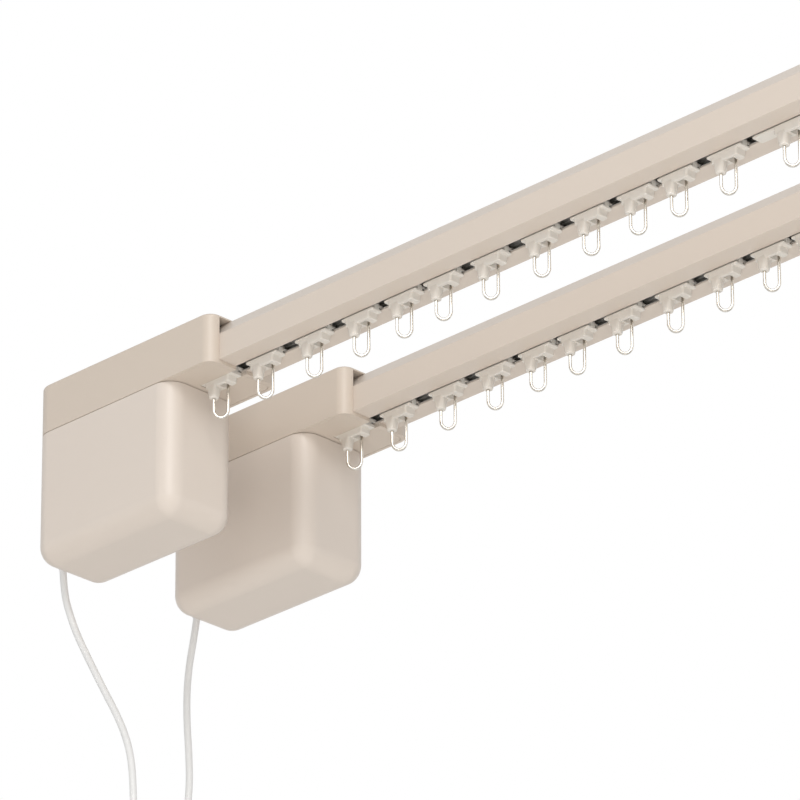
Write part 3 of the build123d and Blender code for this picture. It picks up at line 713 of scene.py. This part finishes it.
# Idler housings: sleeves over the far ends of the rails, with a rounded nose round the idler
# pulley and the end of its steel pin showing below.
idler_start = 0.770
idler_end = 0.844
idler_axis = 0.817
rail_end = 0.790
idler_half = 0.023
idler_corners = (0.003, 0.009)
chamber_start = rail_end - 0.001
chamber_radius = 0.0153
chamber_low, chamber_high = 0.0106, 0.0226
pin_bore = 0.00305
pin_bore_top = 0.0288
for track, (start_x, middle_y) in track_spots.items():
    place = Vector((start_x, middle_y, rail_underside))
    axis = (place.x + idler_axis, place.y)
    nose = plan_block(
        (idler_start, -idler_half), (idler_end, idler_half), *idler_corners,
        lid_stages(gearbox_skirt, gearbox_top, edge_round), place,
    )
    left = idler_start - cut_past
    nose = carved(
        nose,
        plain_box((left, -mouth_half, mouth_bottom), (rail_end, mouth_half, mouth_top), place),
        plain_box((left, -slot_half, cut_below), (rail_end, slot_half, slot_top), place),
        plain_box(
            (chamber_start, -chamber_radius, chamber_low),
            (idler_axis, chamber_radius, chamber_high), place,
        ),
        upright_bar(chamber_radius, place.z + chamber_low, place.z + chamber_high, axis),
        upright_bar(pin_bore, place.z + cut_below, place.z + pin_bore_top, axis),
    )
    nose = make_piece(f"idler_{track}_housing", nose, greige_plastic)
    on_body(nose, "frame", "gearbox_plastic", f"idler_housing_{track}")

# Motor boxes: deep moulded boxes with large round corners and a round underside, a little
# lighter and glossier than the gearbox. A hood on the left end turns the cord downwards.
motor_plastic = finish_material(
    "motor_moulding", (0.640, 0.570, 0.508), (0.605, 0.530, 0.465), roughness=0.40, grain=0.0014,
    depth=0.00004, also={"Coat Weight": 0.15, "Coat Roughness": 0.40},
)
motor_corner = 0.0130
motor_corner_steps = 10
motor_wall = 0.0024
motor_floor = 0.012
rim_edge = 0.00015
outlet_height = 0.0140
outlet_width = 0.0130
outlet_corners = (0.004, 0.0005)
outlet_sunk = 0.004
for track, (start_x, middle_y) in track_spots.items():
    low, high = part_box(f"motor_housing_{track}")
    left = start_x - gearbox_length
    box_low, box_high = (left, low.y), (high.x, high.y)
    # Inset and height: up the inner wall, over the rim and down the outside.
    stages = [
        (motor_wall, low.z + motor_floor), (motor_wall, high.z - 2 * rim_edge),
        (motor_wall - 2 * rim_edge, high.z), (rim_edge, high.z), (0.0, high.z - rim_edge),
    ]
    for step in range(motor_corner_steps + 1):
        angle = pi / 2 * step / motor_corner_steps
        inset = motor_corner * (1 - cos(angle))
        stages.append((inset, low.z + motor_corner * (1 - sin(angle))))
    shape = plan_block(box_low, box_high, motor_corner, motor_corner, stages)
    box = make_piece(f"motor_box_{track}", shape, motor_plastic, 60)
    on_body(box, "frame", "motor_plastic", f"motor_housing_{track}")
    spot = boot_spots[track]
    # Inset and height of the hood, from the boot's top up to its rounded roof.
    hood_stages = [
        (0.0006, boot_top), (0.0002, boot_top + 0.0002), (0.0, boot_top + 0.0006),
        (0.0, boot_top + 0.0102), (0.0006, boot_top + 0.0122), (0.0022, boot_top + outlet_height),
    ]
    hood = plan_block(
        (low.x, spot[1] - outlet_width / 2), (left + outlet_sunk, spot[1] + outlet_width / 2),
        *outlet_corners, hood_stages,
    )
    outlet = make_piece(f"cord_outlet_{track}", hood, motor_plastic, 50)
    on_body(outlet, "frame", "motor_plastic", f"motor_housing_{track}")

# Wire eyes: bright nickel plated wire, bent to a narrow U. One leg is set in the runner's
# socket, the other ends in its open mouth, so that a curtain hook can be slipped in.
eye_wire = 0.0020
eye_half = 0.0044
eye_bottom = -0.0285
eye_bend_height = 0.0054
eye_socket_leg = (-0.0125, -0.0170)
eye_open_leg = (-0.0150, -0.0008)
bend_steps = 16
wire_sides = 12
eye_turn = radians(45)
eye_direction = Vector((cos(eye_turn), sin(eye_turn), 0))
eye_across = Vector((-sin(eye_turn), cos(eye_turn), 0))
bend_top = eye_bottom + eye_wire / 2 + eye_bend_height
eye_line = [(-eye_half, z) for z in eye_socket_leg]
for step in range(bend_steps + 1):
    angle = pi * step / bend_steps
    eye_line.append((-eye_half * cos(angle), bend_top - eye_bend_height * sin(angle)))
eye_line += [(eye_half, z) for z in eye_open_leg]
eye_points = [eye_direction * run + Vector((0, 0, z)) for run, z in eye_line]
rings = []
for index, point in enumerate(eye_points):
    along = eye_points[min(index + 1, len(eye_points) - 1)] - eye_points[max(index - 1, 0)]
    third = along.normalized().cross(eye_across)
    angles = [tau * side / wire_sides for side in range(wire_sides)]
    rings.append([point + eye_wire / 2 * (cos(a) * eye_across + sin(a) * third) for a in angles])
shape = bmesh.new()
loft(shape, rings)
first_eye = make_piece("eye_front_hook", shape, plating, 50)

# Runners: slides moulded in off-white acetal. A winged carriage runs on the slot's lips inside
# the rail. Below the rail a thin shoulder covers the slot, and under it a shorter foot has the
# socket for one leg of the eye and an open mouth for the other.
runner_length = 0.027
carriage_length = 0.024
foot_length = 0.0200
foot_depth = 0.0084
shoulder_top = -0.00035
socket_bottom = -0.0148
leg_offset = 0.00311
mouth_low = (0.0006, -0.0021, -0.012)
mouth_high = (0.0057, 0.0060, -0.0010)
wing_half = 0.015
wing_bottom = 0.00185
wing_thickness = 0.0018
stem_half = 0.0017
stem_bottom, stem_top = -0.0010, wing_bottom + 0.001
ridge_half = 0.006
ridge_inset = 0.002
ridge_bottom, ridge_top = wing_bottom + 0.0014, wing_bottom + 0.0080
acetal = finish_material(
    "runner_acetal", (0.680, 0.640, 0.585), (0.630, 0.585, 0.530), roughness=0.36, grain=0.0009,
    depth=0.00003,
    also={"Subsurface Weight": 0.10, "Subsurface Radius": (0.0015, 0.0012, 0.0010)},
)


def add_block(shape, low, high, width):
    """Adds a box between two corners to a shape, with edges rounded over this width."""
    part = plain_box(low, high)
    part.normal_update()
    bmesh.ops.bevel(
        part, geom=part.edges[:], offset=width, segments=3, profile=0.5, affect="EDGES",
    )
    mesh = bpy.data.meshes.new("block")
    part.to_mesh(mesh)
    part.free()
    shape.from_mesh(mesh)
    bpy.data.meshes.remove(mesh)


def hanging_foot(length):
    """The shoulder and foot under the rail, with the eye's socket and the mouth beside it."""
    # Length, depth, corner radius and height, from the shoulder's top to the foot's underside.
    stages = [
        (length - 0.0006, 0.0082, 0.0007, shoulder_top),
        (length - 0.0001, 0.0087, 0.0010, shoulder_top - 0.0002),
        (length, 0.0088, 0.0010, shoulder_top - 0.0005),
        (length - 0.0004, 0.0088, 0.0011, -0.0016),
        (foot_length + 0.0008, 0.0087, 0.0012, -0.0018),
        (foot_length + 0.0005, 0.0086, 0.0014, -0.0022),
        (foot_length + 0.0002, foot_depth, 0.0015, -0.0059),
        (foot_length - 0.0009, 0.0074, 0.0012, -0.0065),
    ]
    rings = []
    for size, depth, corner, z in stages:
        rings.append([(x, y, z) for x, y in rounded_outline(size, depth, corner)])
    shoulder = bmesh.new()
    loft(shoulder, rings)
    shape = carved(shoulder, plain_box(mouth_low, mouth_high))
    # Middle in x and y, then as above: down the outside and up into the hole for the leg.
    socket = [
        (-0.0047, -0.0010, 0.0078, 0.0064, 0.0012, -0.0040),
        (-0.0046, -0.0013, 0.0076, 0.0063, 0.0018, -0.0066),
        (-0.0041, -0.0021, 0.0071, 0.0062, 0.0024, -0.0098),
        (-leg_offset, -leg_offset, 0.0062, 0.0062, 0.0030, -0.0138),
        (-leg_offset, -leg_offset, 0.0058, 0.0058, 0.0028, socket_bottom + 0.0004),
        (-leg_offset, -leg_offset, 0.0046, 0.0046, 0.0022, socket_bottom),
        (-leg_offset, -leg_offset, 0.0023, 0.0023, 0.0011, socket_bottom),
        (-leg_offset, -leg_offset, 0.0022, 0.0022, 0.0010, socket_bottom + 0.001),
    ]
    rings = []
    for x, y, size, depth, corner, z in socket:
        rings.append([(x + dx, y + dy, z) for dx, dy in rounded_outline(size, depth, corner)])
    loft(shape, rings)
    return shape


def slide(length, carriage):
    """A moulded slide: foot, stem through the slot and winged carriage on the slot's lips."""
    shape = hanging_foot(length)
    add_block(shape, (-length / 2, -stem_half, stem_bottom),
              (length / 2, stem_half, stem_top), 0.0003)
    add_block(shape, (-carriage / 2, -wing_half, wing_bottom),
              (carriage / 2, wing_half, wing_bottom + wing_thickness), 0.0004)
    add_block(shape, (ridge_inset - carriage / 2, -ridge_half, ridge_bottom),
              (carriage / 2 - ridge_inset, ridge_half, ridge_top), 0.0008)
    return shape


runner_mesh = None
for track, (start_x, middle_y) in track_spots.items():
    for number in range(1, 12):
        node = f"runner_{track}_{number:02d}"
        low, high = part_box(node)
        place = Vector(((low.x + high.x) / 2, middle_y, rail_underside))
        name = f"slide_{track}_{number:02d}"
        if runner_mesh is None:
            piece = make_piece(name, slide(runner_length, carriage_length), acetal, 40)
            piece.location = place
            runner_mesh = piece.data
        else:
            piece = place_piece(name, runner_mesh, place)
        on_body(piece, node, "runner_plastic", node)
        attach(place_piece(f"eye_{track}_{number:02d}", first_eye.data, place), node)

# End hooks: fixed in the gearbox's slot, with the same foot and eye as the runners. A shoe fills
# the slot of the cover, and a wider head rests on the rail's lips.
hook_stem_top = 0.002
head_half = 0.008
head_bottom, head_top = 0.0015, 0.0035
for track, (start_x, middle_y) in track_spots.items():
    node = f"end_hook_{track}"
    low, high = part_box(node)
    place = Vector(((low.x + high.x) / 2, middle_y, rail_underside))
    shape = hanging_foot(runner_length)
    half = runner_length / 2
    add_block(shape, (-half, -slot_half, gearbox_skirt), (half, slot_half, cover_top), 0.0002)
    add_block(shape, (-half, -stem_half, stem_bottom), (half, stem_half, hook_stem_top), 0.0002)
    add_block(shape, (-half, -head_half, head_bottom), (half, head_half, head_top), 0.0004)
    hook = make_piece(f"hook_{track}_foot", shape, acetal, 40)
    hook.location = place
    on_body(hook, "frame", "runner_plastic", node)
    if track == "front":
        eye = first_eye
        eye.location = place
    else:
        eye = place_piece(f"eye_{track}_hook", first_eye.data, place)
    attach(eye, "frame")

# Leading carriers: long runners with a grip that holds the front run of the belt, so that the
# motor pulls the curtain's leading edge.
carrier_length = 0.054
belt_floor = 0.0136
belt_y = -0.01184
grip_run = 0.015
grip_inner = 0.00105
grip_outer = 0.00265
grip_bottom, grip_floor = belt_floor - 0.00195, belt_floor - 0.00035
cheek_bottom, cheek_top = belt_floor - 0.0007, belt_floor + 0.0060
arm_start, arm_end = belt_y - 0.0002, -0.0050
arm_bottom, arm_top = 0.0028, 0.0128
for track, (start_x, middle_y) in track_spots.items():
    node = f"master_carrier_{track}"
    low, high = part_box(node)
    place = Vector(((low.x + high.x) / 2, middle_y, rail_underside))
    shape = slide(carrier_length, carrier_length)
    add_block(shape, (-grip_run, belt_y - grip_outer, grip_bottom),
              (grip_run, belt_y + grip_outer, grip_floor), 0.0003)
    for side in (-1, 1):
        inner, outer = belt_y + side * grip_inner, belt_y + side * grip_outer
        add_block(shape, (-grip_run, min(inner, outer), cheek_bottom),
                  (grip_run, max(inner, outer), cheek_top), 0.0003)
    add_block(shape, (-grip_run, arm_start, arm_bottom), (grip_run, arm_end, arm_top), 0.0004)
    carrier = make_piece(f"carrier_{track}", shape, acetal, 40)
    carrier.location = place
    on_body(carrier, f"master_{track}", "runner_plastic", node)
    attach(place_piece(f"eye_{track}_carrier", first_eye.data, place), f"master_{track}")

# Ceiling bars: strips of steel, powder coated to match, with two holes for ceiling screws and
# a square hole for the peg of each rail clip.
bar_coat = finish_material(
    "bar_powder_coat", (0.600, 0.530, 0.460), (0.560, 0.480, 0.410), roughness=0.45, grain=0.0005,
    depth=0.00004,
)
bar_bottom, bar_top = -0.003, 0.0
bar_edge = 0.0003
bar_corner = 0.003
hole_bottom, hole_top = -0.005, 0.002
screw_radius = 0.0026
screw_side = 0.025
peg_half = 0.0025
peg_places = {"motor_end": (0.0, 0.004), "far_end": (0.725, 0.729)}
for end, peg_x in peg_places.items():
    low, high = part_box(f"ceiling_bar_{end}")
    stages = [(bar_edge, bar_bottom), (0.0, bar_bottom + bar_edge), (0.0, bar_top - bar_edge),
              (bar_edge, bar_top)]
    bar = plan_block((low.x, low.y), (high.x, high.y), bar_corner, bar_corner, stages)
    centre_x = (low.x + high.x) / 2
    cutters = []
    for side in (-1, 1):
        spot = (centre_x, side * screw_side)
        cutters.append(upright_bar(screw_radius, hole_bottom, hole_top, spot))
    for x, (start_x, middle_y) in zip(peg_x, track_spots.values()):
        cutters.append(plain_box((x - peg_half, middle_y - peg_half, hole_bottom),
                                 (x + peg_half, middle_y + peg_half, hole_top)))
    bar = make_piece(f"bar_{end}", carved(bar, *cutters), bar_coat)
    on_body(bar, "frame", "bar_steel", f"ceiling_bar_{end}")

# Inside the housings and between rail and ceiling: the motors and their shafts, the drive
# pulleys in bronze sleeves, the idler pulleys on steel pins, the belts, the circuit boards and
# the rail clips.
metal = {"Metallic": 1.0}
zinc = finish_material(
    "motor_zinc", (0.52, 0.52, 0.53), (0.42, 0.42, 0.42), roughness=0.36, grain=0.0005,
    depth=0.00002, patches=0.5, dust=0.05, spread=0.2, also=metal,
)
steel = finish_material(
    "ground_steel", (0.62, 0.61, 0.60), (0.52, 0.51, 0.50), roughness=0.25, grain=0.0004,
    depth=0.00001, dust=0.0, also=metal,
)
bronze = finish_material(
    "sintered_bronze", (0.55, 0.36, 0.17), (0.42, 0.26, 0.12), roughness=0.45, grain=0.0003,
    depth=0.00003, patches=0.6, dust=0.0, spread=0.2, also=metal,
)
pulley_acetal = finish_material(
    "pulley_acetal", (0.78, 0.78, 0.76), (0.70, 0.70, 0.68), roughness=0.34, grain=0.0008,
    depth=0.00002,
)
belt_rubber = finish_material(
    "belt_rubber", (0.200, 0.190, 0.175), (0.260, 0.245, 0.225), roughness=0.62, grain=0.0004,
    depth=0.00004,
)
board_lacquer = finish_material(
    "board_lacquer", (0.035, 0.170, 0.075), (0.020, 0.110, 0.050), roughness=0.30, grain=0.0012,
    depth=0.00002,
)
clip_nylon = finish_material(
    "clip_nylon", (0.66, 0.63, 0.58), (0.58, 0.55, 0.50), roughness=0.5, grain=0.0006,
    depth=0.00005,
)
inner_finishes = {
    "motor": zinc, "drive_coupling": steel, "drive_pulley": pulley_acetal,
    "idler_pulley": pulley_acetal, "belt": belt_rubber, "control_board": board_lacquer,
}
inner_nodes = {
    f"{name}_{track}": finish for name, finish in inner_finishes.items() for track in track_spots
}
inner_nodes.update({"bearings": bronze, "idler_pins": steel, "rail_clips": clip_nylon})
for node, material in inner_nodes.items():
    for holder in nodes[node].material_slots:
        holder.material = material

# Room: the tracks hang from a ceiling, over a pale floor. The floor can be seen through from
# below, because the tracks are looked at from under it as well.
room_height = 2.45
floor_reach = 14.0
floor_mesh = bpy.data.meshes.new("floor")
floor_corners = [(-1, -1), (1, -1), (1, 1), (-1, 1)]
floor_mesh.from_pydata(
    [(x * floor_reach, y * floor_reach, -room_height) for x, y in floor_corners],
    [], [(0, 1, 2, 3)],
)
floor = bpy.data.objects.new("floor", floor_mesh)
bpy.context.scene.collection.objects.link(floor)
floor_paint = bpy.data.materials.new("floor_paint")
floor_paint.use_nodes = True
floor_tree = floor_paint.node_tree
floor_shader = floor_tree.nodes["Principled BSDF"]
floor_shader.inputs["Base Color"].default_value = (0.90, 0.89, 0.87, 1)
floor_shader.inputs["Roughness"].default_value = 0.8
see_through = floor_tree.nodes.new("ShaderNodeBsdfTransparent")
floor_side = floor_tree.nodes.new("ShaderNodeNewGeometry")
floor_mix = floor_tree.nodes.new("ShaderNodeMixShader")
floor_tree.links.new(floor_side.outputs["Backfacing"], floor_mix.inputs["Fac"])
floor_tree.links.new(floor_shader.outputs["BSDF"], floor_mix.inputs[1])
floor_tree.links.new(see_through.outputs["BSDF"], floor_mix.inputs[2])
floor_result = floor_tree.nodes["Material Output"]
floor_tree.links.new(floor_mix.outputs["Shader"], floor_result.inputs["Surface"])
floor_mesh.materials.append(floor_paint)

# Daylight: an even pale surround, white where the camera or a glossy face sees it, and dimmer
# where it lights the tracks.
world = bpy.data.worlds.new("daylight")
bpy.context.scene.world = world
world.use_nodes = True
sky = world.node_tree
surround = sky.nodes["Background"]
seen = sky.nodes.new("ShaderNodeLightPath")
white_seen = math_node(sky, "MAXIMUM")
sky.links.new(seen.outputs["Is Camera Ray"], white_seen.inputs[0])
sky.links.new(seen.outputs["Is Glossy Ray"], white_seen.inputs[1])
white_too = math_node(sky, "MAXIMUM")
sky.links.new(white_seen.outputs[0], white_too.inputs[0])
sky.links.new(seen.outputs["Is Transmission Ray"], white_too.inputs[1])
level = sky.nodes.new("ShaderNodeMapRange")
level.inputs["To Min"].default_value = 0.60
level.inputs["To Max"].default_value = 1.0
sky.links.new(white_too.outputs[0], level.inputs["Value"])
surround.inputs["Color"].default_value = (1.0, 1.0, 1.0, 1)
sky.links.new(level.outputs["Result"], surround.inputs["Strength"])

# Studio lamps: broad soft lamps. The low one fills the undersides, the high one draws a soft
# upright highlight on the rounded corners, and a weaker one lights the far side. Each has its
# place, its width in metres and its power in watts.
lamps = {
    "low_lamp": ((1.90, -1.75, -2.35), 1.8, 92.0),
    "high_lamp": ((2.15, -2.05, 1.45), 1.5, 35.0),
    "far_lamp": ((-1.60, 2.40, 0.90), 1.8, 40.0),
}
lamp_aim = Vector((0.22, 0.0, -0.06))
for name, (spot, size, energy) in lamps.items():
    lamp_data = bpy.data.lights.new(name, "AREA")
    lamp_data.size = size
    lamp_data.energy = energy
    lamp_data.color = (1.0, 0.985, 0.965)
    lamp = bpy.data.objects.new(name, lamp_data)
    bpy.context.scene.collection.objects.link(lamp)
    lamp.location = spot
    lamp.rotation_mode = "QUATERNION"
    lamp.rotation_quaternion = (lamp_aim - Vector(spot)).to_track_quat("-Z", "Y")
    lamp.visible_camera = False
    lamp.visible_glossy = name == "high_lamp"

bpy.context.scene.view_settings.view_transform = "Standard"
